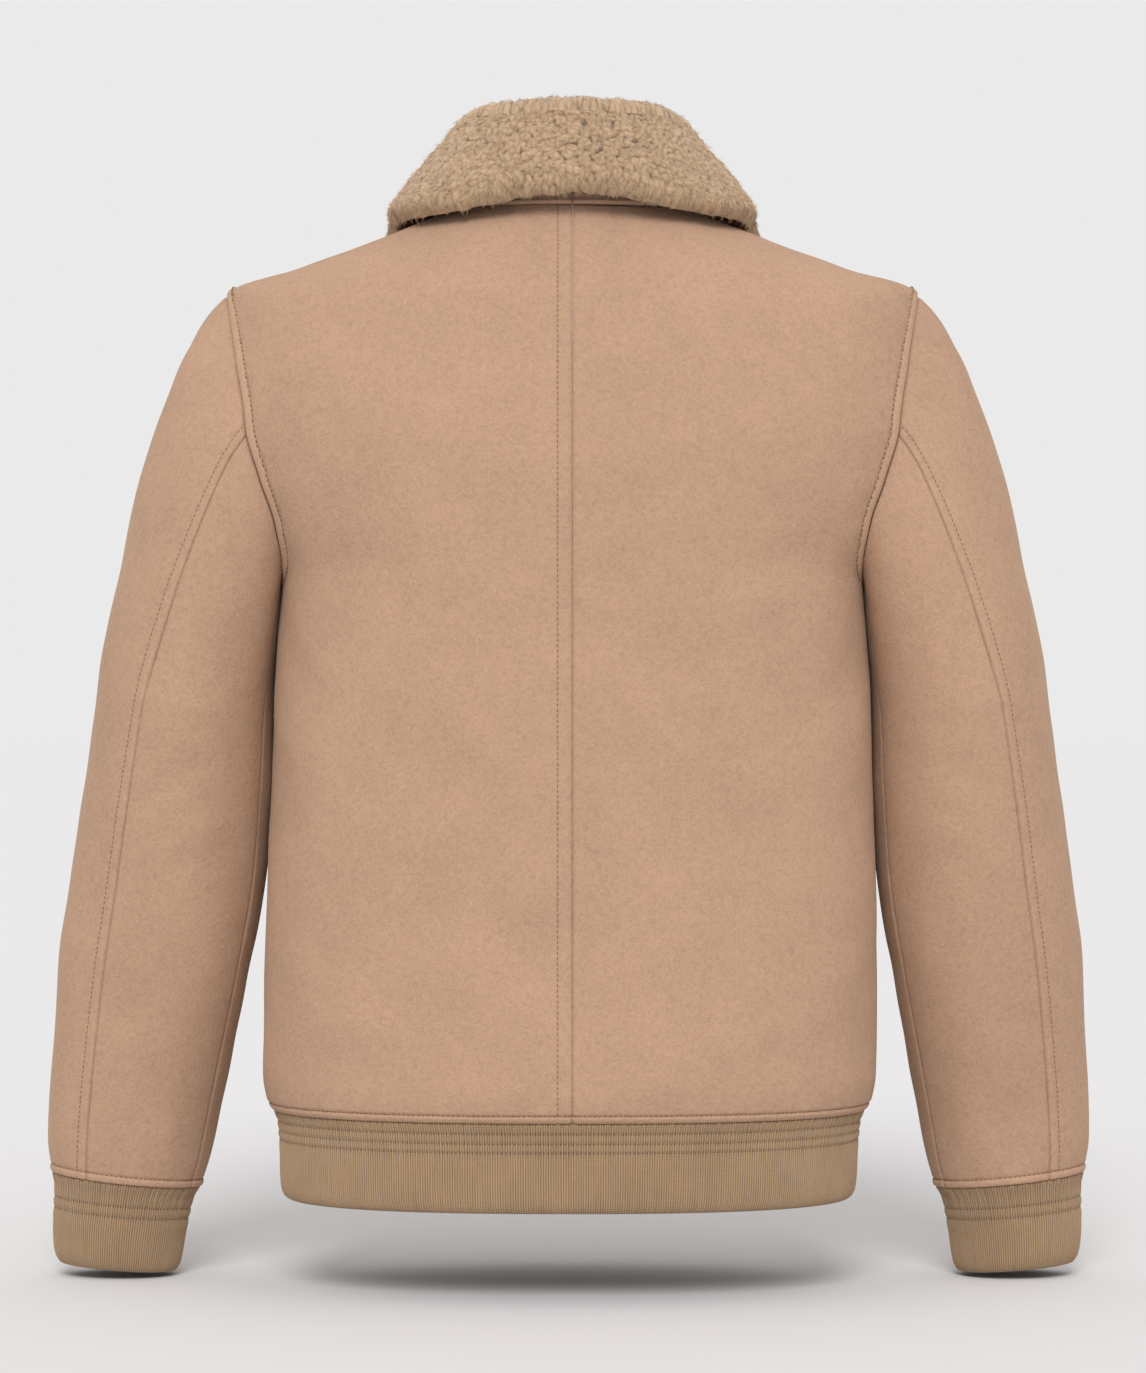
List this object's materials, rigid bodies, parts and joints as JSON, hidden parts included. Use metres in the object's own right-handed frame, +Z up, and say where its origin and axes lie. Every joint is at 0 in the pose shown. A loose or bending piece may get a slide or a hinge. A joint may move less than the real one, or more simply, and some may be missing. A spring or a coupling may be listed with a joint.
{
  "type": "shearling jacket",
  "caption": "Waist-length suede shearling jacket with a turned-down fleece collar, two-piece sleeves, a front zip, and a rib-knit hem and cuffs, in its worn hollow form.",
  "frame": {"origin": "middle of the neck opening, level with the neck seam at the shoulders, where the wearer's shoulders hold the jacket up", "axes": "+Z up along the standing wearer, -Y out of the front, +X towards the wearer's left side"},
  "size_m": [0.7145, 0.261, 0.7949],
  "materials": {
    "suede": "matt brushed suede",
    "fleece": "curly sheep's wool",
    "rib_knit": "fine rib knit",
    "zip_tape": "woven tape",
    "zip_metal": "antique brass"
  },
  "bodies": {
    "jacket": {"back_left": "suede", "back_right": "suede", "front_left": "suede", "front_right": "suede", "top_sleeve_left": "suede", "top_sleeve_right": "suede", "under_sleeve_left": "suede", "under_sleeve_right": "suede", "under_collar_left": "suede", "under_collar_right": "suede", "collar": "fleece", "rib_hem": "rib_knit", "cuff_left": "rib_knit", "cuff_right": "rib_knit", "zip_tape_left": "zip_tape", "zip_tape_right": "zip_tape", "zip_chain": "zip_metal", "zip_box": "zip_metal", "zip_slider": "zip_metal"},
    "pull_tab": {"zip_pull_tab": "zip_metal"}
  },
  "joints": [
    {"name": "pull_tab_hinge", "type": "hinge", "parent": "jacket", "child": "pull_tab", "pos_m": [0, -0.0932, -0.08546], "axis": [-1, 0, 0], "range_deg": [0, 150]}
  ]
}
